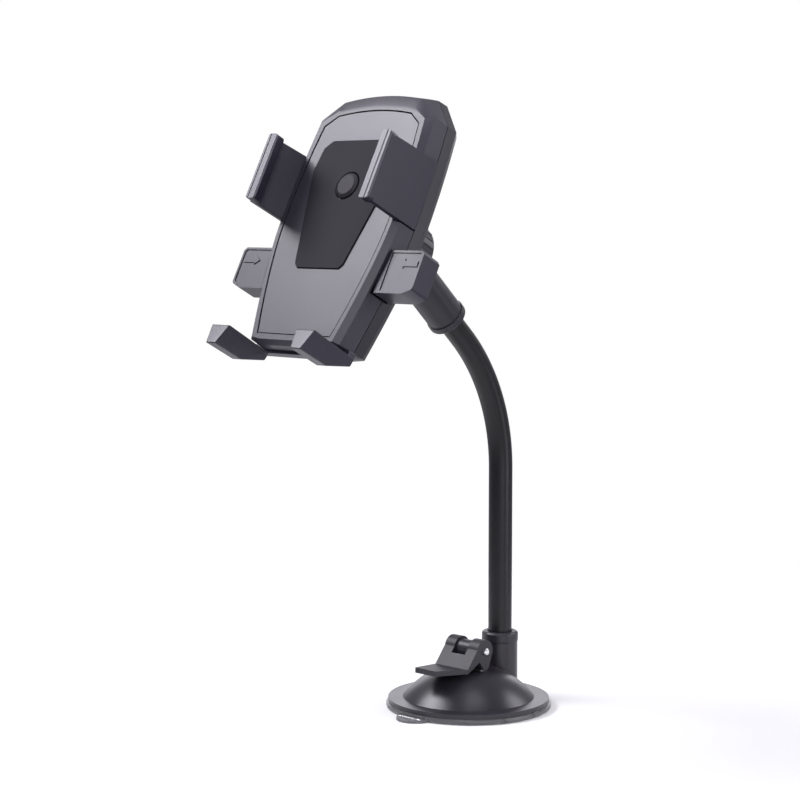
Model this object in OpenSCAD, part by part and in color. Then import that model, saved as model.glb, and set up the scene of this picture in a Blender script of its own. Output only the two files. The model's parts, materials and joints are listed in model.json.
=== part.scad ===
// Car phone mount: a suction base with a cam lever, a gooseneck arm, a ball
// joint with a lock nut, and a cradle whose two jaws are closed by springs.
// Z is up, the cradle faces -Y, and the origin is the middle of the suction face.

/* [Suction base] */
// Diameter of the gel suction pad
pad_d = 71.8; // [68:0.1:78]
// Thickness of the suction pad at its edge
pad_t = 2.4; // [2:0.1:3]
// Reach of the pull tab past the edge of the pad
pull_tab_l = 6; // [4:0.5:10]
// Width of the pull tab
pull_tab_w = 16; // [10:1:24]
// Thickness of the pull tab
pull_tab_t = 1.2; // [0.8:0.1:1.8]
// Diameter of the rim of the base housing
rim_d = 70; // [66:0.5:72]
// Thickness of the rim
rim_t = 2; // [1.6:0.1:3]
// Diameter of the dome where it meets the rim
dome_d = 57.4; // [56.8:0.2:60]
// Height of the full dome above the rim
dome_h = 13.9; // [13:0.1:16]
// Wall thickness of the dome
dome_wall = 2.4; // [2:0.1:3]
// Height of the flat on the dome, above the floor, that the cams press on
dome_flat_z = 16.4; // [15.5:0.1:17]
// Distance of the neck post behind the middle of the base
post_y = 20.65; // [20.5:0.05:22]
// Diameter of the neck post
post_d = 15.6; // [15:0.1:15.7]
// Height of the top of the post above the floor
post_top_z = 25.9; // [24:0.1:30]

/* [Suction lever and plunger] */
// Height of the lever pin above the floor
pin_z = 25.2; // [25:0.1:25.8]
// Diameter of the lever pin
pin_d = 3; // [2.5:0.1:3.4]
// Width of the lever across its two knuckles
lever_w = 19; // [17:0.5:22]
// Width of the lever at its tip
lever_tip_w = 11.5; // [8:0.5:16]
// Reach of the lever in front of its pin
lever_l = 27.7; // [24:0.1:32]
// Thickness of the lever plate
lever_t = 2.3; // [1.8:0.1:2.6]
// Radius of the lever's knuckles
knuckle_r = 5.1; // [4.8:0.1:5.4]
// Width of the plunger stem
stem_w = 7.2; // [6:0.1:7.6]
// Depth of the plunger stem
stem_d = 8; // [7:0.1:8.2]
// Diameter of the plunger foot that is moulded into the pad
foot_d = 20.4; // [18:0.1:20.8]
// Travel of the plunger between locked and released
plunger_travel = 1.4; // [1:0.1:1.6]

/* [Gooseneck] */
// Outer diameter of the plastic sleeve of the neck
sleeve_d = 10.4; // [9:0.1:11]
// Diameter of the flexible steel core
core_d = 7; // [6:0.1:7.4]
// Height at which the neck starts to bend forward
bend_z = 102.5; // [96:0.5:140]
// Radius of the bend on the centreline
bend_r = 80; // [60:1:120]
// Angle of the bend from upright
bend_angle = 47.16; // [35:0.01:60]
// Straight neck between the bend and the upper collar
neck_tail_l = 11.5; // [8:0.5:30]
// Pitch of the windings of the steel core
core_pitch = 2.6; // [2:0.1:4]
// Height of the lower bending point
low_bend_z = 55; // [48:1:62]
// Height of the sideways bending point
side_bend_z = 86; // [80:1:90]
// Angle along the bend of the upper bending point
top_bend_angle = 24; // [16:1:30]

/* [Ball joint] */
// Diameter of the ball
ball_d = 17; // [16:0.1:17.4]
// Diameter of the stem behind the ball
stem_sleeve_d = 16.2; // [15:0.1:17]
// Diameter of the collar on the lower end of the stem
stem_collar_d = 17.2; // [17:0.1:19]
// Length of that collar
stem_collar_l = 3.4; // [2:0.1:6]
// Distance from the collar's lower face to the middle of the ball
stem_l = 44.3; // [40:0.1:60]
// Diameter of the thin neck between ball and stem
ball_neck_d = 7.6; // [6:0.1:8]
// Outer diameter of the lock nut
nut_d = 30; // [28.6:0.1:33]
// Length of the lock nut
nut_l = 20.5; // [18:0.5:21.5]
// Number of grip ribs on the lock nut
nut_ribs = 24; // [12:2:36]

/* [Cradle] */
// Tilt of the cradle face above level
face_tilt = 27.72; // [20:0.01:34]
// Length of the face panel
panel_l = 100; // [96:1:110]
// Greatest width of the face panel
panel_w = 58.6; // [58:0.2:62]
// Width of the face panel at its bottom end
panel_bottom_w = 41; // [38:1:46]
// Thickness of the face panel
panel_t = 1.6; // [1.4:0.1:2]
// Depth from the panel's face to the joint between the two shells
parting_d = 10.3; // [10.2:0.1:11]
// Depth from the panel's face to the back of the back shell
body_d = 19.5; // [19.5:0.1:21]
// Height of the ball above the middle of the panel
ball_up = 5.4; // [3:0.1:8]
// Distance from the panel's face back to the middle of the ball
ball_back = 36; // [36:0.1:38]

/* [Jaws and tabs] */
// Gap between the closed jaws
jaw_gap = 63.6; // [63.4:0.2:66]
// Height of the jaws along the cradle
jaw_h = 29.8; // [27:0.2:32]
// Reach of the jaws in front of the panel
jaw_reach = 19.5; // [14:0.5:24]
// Thickness of a jaw with its pad
jaw_t = 3.2; // [3:0.1:4]
// Thickness of the soft pad in a jaw
jaw_pad_t = 1.1; // [0.8:0.1:1.4]
// Travel of each jaw from closed to open
jaw_travel = 14; // [8:0.5:14]
// Width across the two squeeze tabs
tabs_w = 102.8; // [98:0.2:108]
// Height of a squeeze tab
tab_h = 18.4; // [15:0.2:19]
// Gear module of the racks and the pinion
gear_m = 1; // [1:0.05:1]
// Number of pinion teeth
pinion_teeth = 10; // [10:2:10]

/* [Button and latch] */
// Diameter of the trigger button
button_d = 11.2; // [10:0.1:11.6]
// Height of the button above the panel's face
button_h = 1.6; // [1:0.1:2.4]
// Height of the button above the middle of the panel
button_up = 15.6; // [15:0.1:16.5]
// Travel of the button
button_travel = 1.2; // [0.8:0.1:1.4]

/* [Foot bracket] */
// Distance between the middles of the two claws
claw_spacing = 48.6; // [40:0.2:50]
// Width of a claw along its top
claw_top_w = 10.4; // [8:0.2:12]
// Width of a claw along its bottom
claw_bottom_w = 5.5; // [4:0.5:7]
// Reach of the claws in front of the panel
claw_reach = 18; // [14:0.5:24]
// Height of a claw
claw_h = 8.8; // [7:0.2:10]
// Travel of the foot bracket
foot_travel = 14; // [8:1:15]

/* [Hidden] */
$fn = 64;

// clearances
fit_gap = 0.1;      // radial or per side, between pieces that slide or are pressed home
soft_gap = 0.3;     // between a soft piece and its neighbour
running_gap = 0.05; // radial, round a pin or axle
press_gap = 0.02;   // radial, round a pin that is pressed home
coil_clear = 0.05;  // between a coil's end and its seat
cut = 0.01;         // overshoot of a cut through a face

// ---- base ----
rim_top_z = pad_t + rim_t;
dome_r = (pow(dome_d / 2, 2) + dome_h * dome_h) / (2 * dome_h);
dome_centre_z = rim_top_z + dome_h - dome_r;
pad_floor_t = 1.6;
foot_z = pad_floor_t + plunger_travel;
foot_t = 2;
pad_lip_t = 0.9;
pad_boss_wall = 2.2;
pad_boss_top_z = foot_z + foot_t + pad_lip_t;
pad_boss_d = foot_d + 2 * pad_boss_wall;
flat_wall = 4;
guide_l = 2.2;
cavity_top_z = dome_flat_z - flat_wall;
guide_bottom_z = cavity_top_z - guide_l;
spring_wire_d = 1.1;
release_coils = 3;
release_inset = 1.3;
release_spring_r = foot_d / 2 - release_inset;
neck_foot_z = 12;
post_collar_h = 4.4;
post_collar_d = post_d + 0.4;
neck_screw_head_d = 5.6;
neck_screw_head_h = 2;
neck_screw_d = 2.9;
neck_screw_grip = 7;
neck_screw_top_z = neck_foot_z + neck_screw_grip;

// ---- lever ----
pin_over = 1.5;
pin_chamfer = 0.4;
slot_w = stem_w + 0.6;
slot_front = -6.8;
crease_y = -11;
crease_z = -6.3;
tip_z = -4.7;
nose_r = 2.05;
nose_y = 0.6;
cam_gap = 0.35;
nose_z = dome_flat_z + cam_gap + nose_r - pin_z;

// ---- neck ----
sleeve_wall = (sleeve_d - core_d) / 2 - fit_gap;
segment_gap = 1.6;
sleeve_sides = 28;
sleeve_bend_steps = 16;
core_groove = 0.35;
neck_socket_l = 18;
socket_clear = 0.5;
bend_end_y = post_y - bend_r * (1 - cos(bend_angle));
bend_end_z = bend_z + bend_r * sin(bend_angle);
ball_y = bend_end_y - (neck_tail_l + stem_l) * sin(bend_angle);
ball_z = bend_end_z + (neck_tail_l + stem_l) * cos(bend_angle);
gap_angle = segment_gap / bend_r * 180 / PI;

// ---- ball joint ----
liner_t = 1.42;
ball_clear = 0.08;
liner_in_r = ball_d / 2 + ball_clear;
liner_out_r = liner_in_r + liner_t;
socket_r = liner_out_r + fit_gap;
liner_rim = 3.5;
liner_hole_r = 3;
ring_front = 0.6;
ring_back = 4.5;
boss_r = socket_r + 1.9;
boss_end = 0.4;
nut_rear = 9;
nut_hold = 6;
nut_mouth_r = 10.4;
nut_throat_r = sqrt(socket_r * socket_r - nut_hold * nut_hold) + 0.1;
nut_step = 1;
nut_rib_r = 0.9;
neck_taper_l = 3;
taper_end_r = 5.4;
neck_free_l = 14;
collet_slot_w = 1.6;

// ---- cradle outline ----
half_l = panel_l / 2;
half_w = panel_w / 2;
shoulder_v = half_l - 6.6;
corner_v = half_l - 2;
corner_u = half_w - 8.8;
shoulder_in = 2.8;
arch_steps = 6;
side_steps = 9;
rim_up = 0.2;
rim_w = 2.4;
shoulder_d = 1.9;
shoulder_top = 8;
side_grow = 4.9;
top_grow = 12;
bottom_grow = 5;
shell_floor = 1.6;
shell_seam = 0.3;
back_floor = 2;
inner_grow = 1.5;
back_top_wall = 3.5;
back_bottom_in = 1.2;
// rounding of the back: height above it, then what the sides, top and bottom draw in
back_levels = [[0, 3.2, 4.5, 4.8], [1.2, 1.2, 1.5, 2.6], [4, -0.3, -0.5, 1.4]];
front_inner_top = 3;
front_inner_bottom = 2.4;
seat_r = 3;
window_in = 8;
inner_front = panel_t + shell_floor;
inner_back = body_d - back_floor;
panel_gap = 0.45;

// ---- jaws ----
jaw_in = jaw_gap / 2;
jaw_out = jaw_in + jaw_t;
jaw_low = 0.2;
jaw_lean = 1.6;
jaw_slope = 1;
pad_back = 6.3;
jaw_back = parting_d - 0.6;
jaw_bed_gap = 0.4;
lip_w = 5.5;
lip_t = 4.2;
lip_rise = 1.4;
lip_corner = 1.5;
lip_chamfer = 0.5;
lip_strip = 1.5;
lip_groove = 0.3;
lip_proud = 0.1;
arm_low = 3;
arm_high = 27;
arm_front = 6.6;
arm_back = 9.8;
arm_in = 12;
arm_step = 3.5;
layer_t = 1.7;
layer_a = inner_back - 0.2 - 2 * layer_t - 0.3;
layer_b = layer_a + layer_t + 0.3;
column_w = 3.2;
column_u = 7.8;
tab_front = 3.3;
tab_back = 13;
tab_top = -10.8;
tab_in = 31.5;
tab_chamfer_u = 5;
tab_chamfer_v = 1.8;
tab_corner = 1.4;
tab_root = 4;
right_root = [-19.6, -14.6];
left_root = [-25.6, -20.2];
left_arm_top = -15;
tab_recess = 0.4;
tab_field_in = 5.2;
tab_border = 1;
arrow_l = 9.9;
arrow_w = 2.4;
arrow_head_l = 2.8;
arrow_head_w = 4.2;
arrow_down = 5.6;
arrow_in = 1.8;

// ---- rack and pinion ----
pinion_v = -4;
pitch_r = gear_m * pinion_teeth / 2;
pressure_angle = 20;
rack_addendum = 0.55 * gear_m;
gear_clear = 0.2;
pinion_addendum = 0.9 * gear_m;
backlash = 0.2;
rack_reach = 19;
rack_h = 3.6;
axle_r = 1.5;

// ---- springs of the jaws ----
lug_r = 1.2;
right_spring_v = 35;
left_spring_v = 30.5;
spring_post_u = 26.5;
jaw_spring_r = 1.25;
jaw_spring_wire = 0.5;
jaw_spring_depth = layer_a - 1.9;
lug_top = jaw_spring_depth - 0.9;
jaw_spring_turns = 10;

// ---- button and latch ----
cup_in_r = button_d / 2 + soft_gap;
cup_wall = 1.2;
cup_floor = 6.2;
cup_floor_t = 1;
shaft_r = 2;
shaft_end = 11.6;
shaft_tip_r = 0.7;
shaft_tip_l = 1.8;
clip_r = 3.2;
clip_t = 0.8;
cap_wall = 1.3;
skirt_clear = 0.8;
button_edge = 1.4;
cap_inner = button_h - cap_wall - 0.6 * button_edge;
skirt_end = cup_floor - button_travel - skirt_clear;
button_wire = 0.5;
button_coils = 5;
button_spring_r = 3.4;
latch_v = 11;
latch_depth = 12;
latch_hub_r = 1.9;
latch_w = 5;
latch_axle_r = 1;
latch_t = 1.2;
latch_high = 18;
latch_low = 3.6;
latch_post_in = 4;
latch_post_out = 6;
latch_post_v = 2;

// ---- pad on the face ----
grip_top_v = 36.4;
grip_top_u = 17.5;
grip_shoulder_v = 33;
grip_shoulder_u = 21.4;
grip_wide_v = 22.5;
grip_wide_u = 23;
grip_bottom_v = -21.2;
grip_bottom_u = 13.6;
grip_corner = 1.8;
grip_up = 0.6;
grip_pocket = 0.8;

// ---- foot bracket ----
bar_gap = 0.4;
bar_front = 6.4;
bar_back = 10.2;
bar_h = 2.8;
claw_back = 8.4;
claw_rise = 1;
claw_lean = 1.8;
claw_chamfer_w = 10.7;
claw_chamfer_v = 4.6;
tongue_w = 24;
tongue_hold = 4;
tongue_top = foot_travel + tongue_hold - half_l;
tongue_front = 8.1;
tongue_back = 9.7;

// ---- screws of the shells ----
screw_head_r = 2.6;
screw_head_h = 1.8;
screw_sink = 0.35;
screw_r = 1.25;
screw_l = 10;
screw_boss_r = 3.6;
upper_screw = [21, 45.5];
lower_screw = [16.5, -41];

// ================= shared shapes =================

// puts its children in the cradle's frame: X across, Y up along the panel,
// Z out of the panel, with the origin in the middle of the panel's face
module in_cradle()
    translate([0, ball_y, ball_z])
    rotate([90 - face_tilt, 0, 0])
    translate([0, -ball_up, ball_back])
    children();

// puts its children at the ball's middle, with Z out of the panel
module at_ball()
    translate([0, ball_y, ball_z])
    rotate([90 - face_tilt, 0, 0])
    children();

// puts its children at the end of the bend, with Z along the neck
module at_bend_end()
    translate([0, bend_end_y, bend_end_z])
    rotate([bend_angle, 0, 0])
    children();

// a bend of the neck in the plane X = 0: sweeps a flat shape along the arc
module sweep_bend(from, to)
    translate([0, post_y - bend_r, bend_z])
    rotate([90, 0, 90])
    rotate([0, 0, from])
    rotate_extrude(angle = to - from, $fn = 96)
    translate([bend_r, 0])
    children();

// extrudes a flat shape that is drawn in Y and Z, centred on X = 0
module side_extrude(w)
    rotate([90, 0, 90])
    translate([0, 0, -w / 2])
    linear_extrude(w)
    children();

// two circles joined along their outer tangents, drawn a hair inside them
module tapered_slot(p1, r1, p2, r2) {
    dir = atan2(p2[1] - p1[1], p2[0] - p1[0]);
    lean = acos((r1 - r2) / norm(p2 - p1));
    inset = 0.03;
    translate(p1) circle(r1);
    translate(p2) circle(r2);
    polygon([for (c = [[p1, r1 - inset, 1], [p2, r2 - inset, 1], [p2, r2 - inset, -1], [p1, r1 - inset, -1]])
             c[0] + c[1] * [cos(dir + c[2] * lean), sin(dir + c[2] * lean)]]);
}

// rectangle with its corners cut in two steps
module soft_corners(low, high, c)
    polygon([for (p = [[low[0], low[1], 1, 1, 0], [high[0], low[1], -1, 1, 1],
                       [high[0], high[1], -1, -1, 0], [low[0], high[1], 1, -1, 1]])
             for (k = [[0, 1], [0.3, 0.3], [1, 0]])
             let (m = p[4] == 0 ? k : [k[1], k[0]])
             [p[0] + p[2] * c * m[0], p[1] + p[3] * c * m[1]]]);

// a box given by its lowest and highest corner
module block(low, high)
    translate(low)
    cube(high - low);

// a coil spring along Z, swept as a closed tube
module coil(r, wire, length, turns, sides = 6, steps = 12) {
    rings = round(turns * steps);
    lead = length / rings;
    points = [for (i = [0 : rings]) for (j = [0 : sides - 1])
              let (a = i * 360 / steps, b = j * 360 / sides)
              let (out = r + wire / 2 * cos(b))
              [out * cos(a), out * sin(a), i * lead + wire / 2 * sin(b)]];
    walls = [for (i = [0 : rings - 1]) for (j = [0 : sides - 1])
             let (k = (j + 1) % sides)
             [i * sides + j, i * sides + k, (i + 1) * sides + k, (i + 1) * sides + j]];
    first = [for (j = [sides - 1 : -1 : 0]) j];
    last = [for (j = [0 : sides - 1]) rings * sides + j];
    polyhedron(points, concat([first], walls, [last]), convexity = 10);
}

function unit(a) = a / norm(a);

// normals carried along a row of tangents without twisting
function carried(t, i, n) =
    i == len(t) ? [] : let (m = unit(n - (n * t[i]) * t[i])) concat([m], carried(t, i + 1, m));

// bent wire along a path
module wire(path, d, sides = 6) {
    last = len(path) - 1;
    t = [for (i = [0 : last]) unit(path[min(i + 1, last)] - path[max(i - 1, 0)])];
    n = carried(t, 0, [0.1, 0.2, 1]);
    points = [for (i = [0 : last]) for (j = [0 : sides - 1])
              let (a = 360 * j / sides)
              path[i] + d / 2 * (cos(a) * n[i] + sin(a) * cross(t[i], n[i]))];
    walls = [for (i = [0 : last - 1]) for (j = [0 : sides - 1])
             let (k = (j + 1) % sides)
             for (f = [[i * sides + j, i * sides + k, (i + 1) * sides + k],
                       [i * sides + j, (i + 1) * sides + k, (i + 1) * sides + j]]) f];
    ends = [[for (j = [sides - 1 : -1 : 0]) j], [for (j = [0 : sides - 1]) last * sides + j]];
    polyhedron(points, [for (f = concat(walls, ends)) [for (i = [len(f) - 1 : -1 : 0]) f[i]]],
               convexity = 10);
}

// half width of the face panel at height v
function half_width(v) =
    v < 0 ? half_w - (half_w - panel_bottom_w / 2) * pow(-v / half_l, 1.6)
          : half_w - shoulder_in * pow(v / shoulder_v, 2.5);

// right half of the cradle outline, grown by the given amounts, bottom to top
function right_half(side, top, bottom) = concat(
    [[0.8 * (panel_bottom_w / 2 + side), -half_l - bottom]],
    [for (i = [0 : side_steps])
        let (v = -half_l + half_l * i / side_steps)
        [half_width(v) + side, v - bottom * (1 - 0.1 * bottom) * pow(-v / half_l, 4)]],
    [for (i = [1 : 4])
        let (v = shoulder_v * i / 4)
        [half_width(v) + side * (1 + 0.15 * pow(i / 4, 2)), v + 0.85 * side * pow(i / 4, 4)]],
    [for (i = [arch_steps : -1 : 1])
        let (t = i / arch_steps)
        [(corner_u + side / 3) * t, half_l + top - (half_l - corner_v + 0.03 * top) * t * t]]);

module outline(side = 0, top = 0, bottom = 0) {
    right = right_half(side, top, bottom);
    left = [for (i = [len(right) - 1 : -1 : 0]) [-right[i][0], right[i][1]]];
    polygon(concat(right, [[0, half_l + top]], left));
}

function outline_points(side, top, bottom) =
    let (right = right_half(side, top, bottom))
    concat(right, [[0, half_l + top]], [for (i = [len(right) - 1 : -1 : 0]) [-right[i][0], right[i][1]]]);

// solid lofted through levels of [z, side, top, bottom], from the lowest z up
module loft(levels) {
    rings = [for (l = levels) outline_points(l[1], l[2], l[3])];
    n = len(rings[0]);
    points = [for (i = [0 : len(levels) - 1]) for (p = rings[i]) [p[0], p[1], levels[i][0]]];
    walls = [for (i = [0 : len(levels) - 2]) for (j = [0 : n - 1])
             let (k = (j + 1) % n)
             for (t = [[i * n + j, (i + 1) * n + j, i * n + k],
                       [i * n + k, (i + 1) * n + j, (i + 1) * n + k]]) t];
    bottom = [for (j = [0 : n - 1]) j];
    top = [for (j = [n - 1 : -1 : 0]) (len(levels) - 1) * n + j];
    polyhedron(points, concat([bottom], walls, [top]), convexity = 6);
}

module mirrored()
    for (s = [0, 1]) mirror([s, 0, 0]) children();

// ================= suction base =================

module suction_pad() color("dimgray")
    difference() {
        union() {
            rotate_extrude($fn = 96)
                polygon([[0, 0], [pad_d / 2 - 0.8, 0], [pad_d / 2, 0.8],
                         [pad_d / 2, pad_t - 0.5], [pad_d / 2 - 0.5, pad_t], [0, pad_t]]);
            cylinder(d = pad_boss_d, h = pad_boss_top_z);
            intersection() {
                translate([0, -pad_d / 2 - pull_tab_l + pull_tab_w / 2, 0])
                    cylinder(d = pull_tab_w, h = pull_tab_t);
                block([-pull_tab_w, -pad_d, 0], [pull_tab_w, 0, pull_tab_t]);
            }
        }
        // bed of the plunger foot, held by a lip
        translate([0, 0, foot_z - soft_gap])
            cylinder(d = foot_d + 2 * fit_gap, h = foot_t + 2 * soft_gap);
        translate([0, 0, foot_z])
            cylinder(d = foot_d - 1, h = pad_boss_top_z);
    }

module base_profile()
    difference() {
        union() {
            translate([0, pad_t]) square([rim_d / 2, rim_t]);
            intersection() {
                translate([0, dome_centre_z]) circle(dome_r, $fn = 128);
                translate([0, pad_t]) square([dome_d / 2, dome_flat_z - pad_t]);
            }
        }
        intersection() {
            translate([0, dome_centre_z]) circle(dome_r - dome_wall, $fn = 128);
            translate([-1, pad_t - 1]) square([dome_d / 2 - dome_wall + 1, cavity_top_z - pad_t + 1]);
        }
    }

module base_housing() color("dimgray")
    difference() {
        union() {
            rotate_extrude($fn = 96) base_profile();
            // guide round the plunger stem
            translate([0, 0, guide_bottom_z]) cylinder(r = release_spring_r - release_inset, h = guide_l + 1);
            // neck post
            translate([0, post_y, pad_t]) cylinder(d = post_d, h = post_top_z - pad_t);
        }
        block([-stem_w / 2 - fit_gap, -stem_d / 2 - fit_gap, 0],
              [stem_w / 2 + fit_gap, stem_d / 2 + fit_gap, dome_flat_z + 1]);
        translate([0, post_y, neck_foot_z])
            cylinder(d = sleeve_d + 2 * fit_gap, h = post_top_z);
        translate([0, post_y, 0]) {
            cylinder(d = neck_screw_d + soft_gap, h = neck_foot_z + 1);
            cylinder(d = neck_screw_head_d + 2 * soft_gap, h = pad_t + neck_screw_head_h + fit_gap);
        }
    }

module plunger() color([0.16, 0.16, 0.17])
    difference() {
        union() {
            translate([0, 0, foot_z]) cylinder(d = foot_d, h = foot_t);
            block([-stem_w / 2, -stem_d / 2, foot_z], [stem_w / 2, stem_d / 2, pin_z]);
            translate([0, 0, pin_z]) rotate([0, 90, 0])
                cylinder(d = stem_d, h = stem_w, center = true);
        }
        translate([0, 0, pin_z]) rotate([0, 90, 0])
            cylinder(r = pin_d / 2 + running_gap, h = stem_w + 2, center = true);
    }

module release_spring() color("silver")
    translate([0, 0, foot_z + foot_t + spring_wire_d / 2 + coil_clear])
    coil(release_spring_r, spring_wire_d,
         cavity_top_z - foot_z - foot_t - spring_wire_d - 3 * coil_clear, release_coils, 8, 20);

// side view of the lever's plate, from the knuckle to the tip
module lever_plate()
    polygon([[0, 0], [-knuckle_r * cos(15), knuckle_r * sin(15) - 0.1], [crease_y, crease_z],
             [-lever_l, tip_z], [-lever_l, tip_z - lever_t],
             [crease_y + 0.3, crease_z - lever_t + 0.5], [-3.4, -4.2]]);

// plan of the lever, which narrows from the crease to the tip
module lever_plan()
    polygon([[-lever_w / 2, 2 * knuckle_r], [-lever_w / 2, crease_y], [-lever_tip_w / 2, -lever_l],
             [lever_tip_w / 2, -lever_l], [lever_w / 2, crease_y], [lever_w / 2, 2 * knuckle_r]]);

module suction_lever() color("dimgray")
    translate([0, 0, pin_z])
    difference() {
        intersection() {
            union() {
                side_extrude(lever_w + 2) lever_plate();
                side_extrude(lever_w + 2) tapered_slot([0, 0], knuckle_r, [nose_y, nose_z], nose_r);
            }
            translate([0, 0, -lever_l]) linear_extrude(2 * lever_l) lever_plan();
        }
        block([-slot_w / 2, slot_front, -lever_l], [slot_w / 2, 2 * knuckle_r, lever_l]);
        rotate([0, 90, 0]) cylinder(r = pin_d / 2 + press_gap, h = lever_w + 4, center = true);
    }

module lever_pin() color("silver") {
    end = lever_w / 2 + pin_over;
    translate([0, 0, pin_z]) rotate([0, 90, 0])
        rotate_extrude()
        polygon([[0, -end], [pin_d / 2 - pin_chamfer, -end], [pin_d / 2, pin_chamfer - end],
                 [pin_d / 2, end - pin_chamfer], [pin_d / 2 - pin_chamfer, end], [0, end]]);
}

// ================= gooseneck =================

module base_collar() color("dimgray")
    translate([0, post_y, post_top_z])
    rotate_extrude()
    polygon([[sleeve_d / 2 + fit_gap, 0], [post_collar_d / 2, 0],
             [post_collar_d / 2, post_collar_h - 0.8], [post_collar_d / 2 - 0.8, post_collar_h],
             [sleeve_d / 2 + 0.5, post_collar_h], [sleeve_d / 2 + fit_gap, post_collar_h - 0.5]]);

module neck_screw() color("silver")
    translate([0, post_y, pad_t]) {
        cylinder(d = neck_screw_head_d, h = neck_screw_head_h);
        cylinder(d = neck_screw_d, h = neck_screw_top_z - pad_t);
    }

// wound steel hose along Z, from z = 0 to l, with a ridge for each winding
module straight_core(l) {
    count = floor(l / core_pitch);
    pitch = l / count;
    rotate_extrude()
        polygon(concat([[0, 0]],
            [for (i = [0 : count - 1]) for (p = [[core_d / 2, 0], [core_d / 2, 0.6],
                [core_d / 2 - core_groove, 0.8], [core_d / 2 - core_groove, 1]])
                [p[0], (i + p[1]) * pitch]],
            [[0, l]]));
}

// the same hose along the bend
module bent_core(from, to) {
    count = floor((to - from) * PI / 180 * bend_r / core_pitch);
    step = (to - from) / count;
    sweep_bend(from, to) circle(core_d / 2 - core_groove);
    for (i = [0 : count - 1])
        translate([0, post_y - bend_r, bend_z])
            rotate([from + (i + 0.5) * step, 0, 0])
            translate([0, bend_r, 0])
            cylinder(d = core_d, h = 0.6 * core_pitch, center = true);
}

// plug inside the hose where a straight length meets the bend
module core_joint()
    cylinder(d = core_d - 4 * core_groove, h = core_pitch, center = true);

module neck_core_base() color("silver")
    difference() {
        translate([0, post_y, neck_foot_z + 0.1])
            straight_core(low_bend_z - segment_gap - neck_foot_z - 0.1);
        translate([0, post_y, 0]) cylinder(d = neck_screw_d + 2 * press_gap, h = neck_screw_top_z + 0.1);
    }

module neck_core_low() color("silver")
    translate([0, post_y, low_bend_z + segment_gap])
    straight_core(side_bend_z - low_bend_z - 2 * segment_gap);

module neck_core_mid() color("silver") {
    translate([0, post_y, side_bend_z + segment_gap])
        straight_core(bend_z - side_bend_z - segment_gap);
    translate([0, post_y, bend_z]) core_joint();
    bent_core(0, top_bend_angle - gap_angle);
}

module neck_core_head() color("silver") {
    bent_core(top_bend_angle + gap_angle, bend_angle);
    at_bend_end() {
        core_joint();
        straight_core(neck_tail_l + neck_socket_l - socket_clear);
    }
}

// stations along the neck as [y, z, lean], from the post to the head
neck_stations = concat(
    [[post_y, neck_foot_z + 0.1, 0]],
    [for (i = [0 : sleeve_bend_steps])
        let (a = bend_angle * i / sleeve_bend_steps)
        [post_y - bend_r * (1 - cos(a)), bend_z + bend_r * sin(a), a]],
    [[bend_end_y - (neck_tail_l + neck_socket_l - socket_clear) * sin(bend_angle),
      bend_end_z + (neck_tail_l + neck_socket_l - socket_clear) * cos(bend_angle), bend_angle]]);

module neck_sleeve() color([0.13, 0.13, 0.14]) {
    n = sleeve_sides;
    last = len(neck_stations) - 1;
    radii = [sleeve_d / 2, sleeve_d / 2 - sleeve_wall];
    points = [for (r = radii) for (s = neck_stations) for (j = [0 : n - 1])
              let (a = 360 * j / n)
              [r * cos(a), s[0] + r * sin(a) * cos(s[2]), s[1] + r * sin(a) * sin(s[2])]];
    inner = n * (last + 1);
    walls = [for (i = [0 : last - 1]) for (j = [0 : n - 1])
             let (p = i * n + j, q = i * n + (j + 1) % n)
             for (f = [[p, p + n, q], [q, p + n, q + n],
                       [inner + p, inner + q, inner + p + n],
                       [inner + q, inner + q + n, inner + p + n]]) f];
    ends = [for (j = [0 : n - 1])
            let (k = (j + 1) % n, p = last * n + j, q = last * n + k)
            for (f = [[j, k, inner + j], [k, inner + k, inner + j],
                      [p, inner + p, q], [q, inner + p, inner + q]]) f];
    polyhedron(points, concat(walls, ends), convexity = 6);
}

// ================= ball joint =================

module neck_collar() color("dimgray")
    at_bend_end()
    translate([0, 0, neck_tail_l])
    rotate_extrude()
    polygon([[sleeve_d / 2 + fit_gap, 0.5], [sleeve_d / 2 + 0.6, 0],
             [stem_collar_d / 2 - 0.6, 0], [stem_collar_d / 2, 0.6],
             [stem_collar_d / 2, stem_collar_l], [sleeve_d / 2 + fit_gap, stem_collar_l]]);

module ball_stem() color("dimgray")
    at_bend_end()
    translate([0, 0, neck_tail_l])
    difference() {
        union() {
            rotate_extrude()
                polygon([[0, stem_collar_l], [stem_sleeve_d / 2, stem_collar_l],
                         [stem_sleeve_d / 2, stem_l - neck_free_l - neck_taper_l],
                         [taper_end_r, stem_l - neck_free_l],
                         [ball_neck_d / 2, stem_l - neck_free_l],
                         [ball_neck_d / 2, stem_l], [0, stem_l]]);
            translate([0, 0, stem_l]) sphere(d = ball_d);
        }
        translate([0, 0, -1]) cylinder(d = sleeve_d + 2 * fit_gap, h = neck_socket_l + 1);
    }

// spherical shell round the ball between two planes, front is positive
module ball_zone(front, back)
    intersection() {
        difference() {
            sphere(liner_out_r);
            sphere(liner_in_r);
        }
        block([-2 * ball_d, -2 * ball_d, back], [2 * ball_d, 2 * ball_d, front]);
    }

module friction_ring() color("black")
    at_ball() ball_zone(-ring_front, -ring_back);

module ball_liner() color("black")
    at_ball()
    difference() {
        ball_zone(2 * ball_d, liner_rim);
        cylinder(r = liner_hole_r, h = ball_d);
    }

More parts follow.
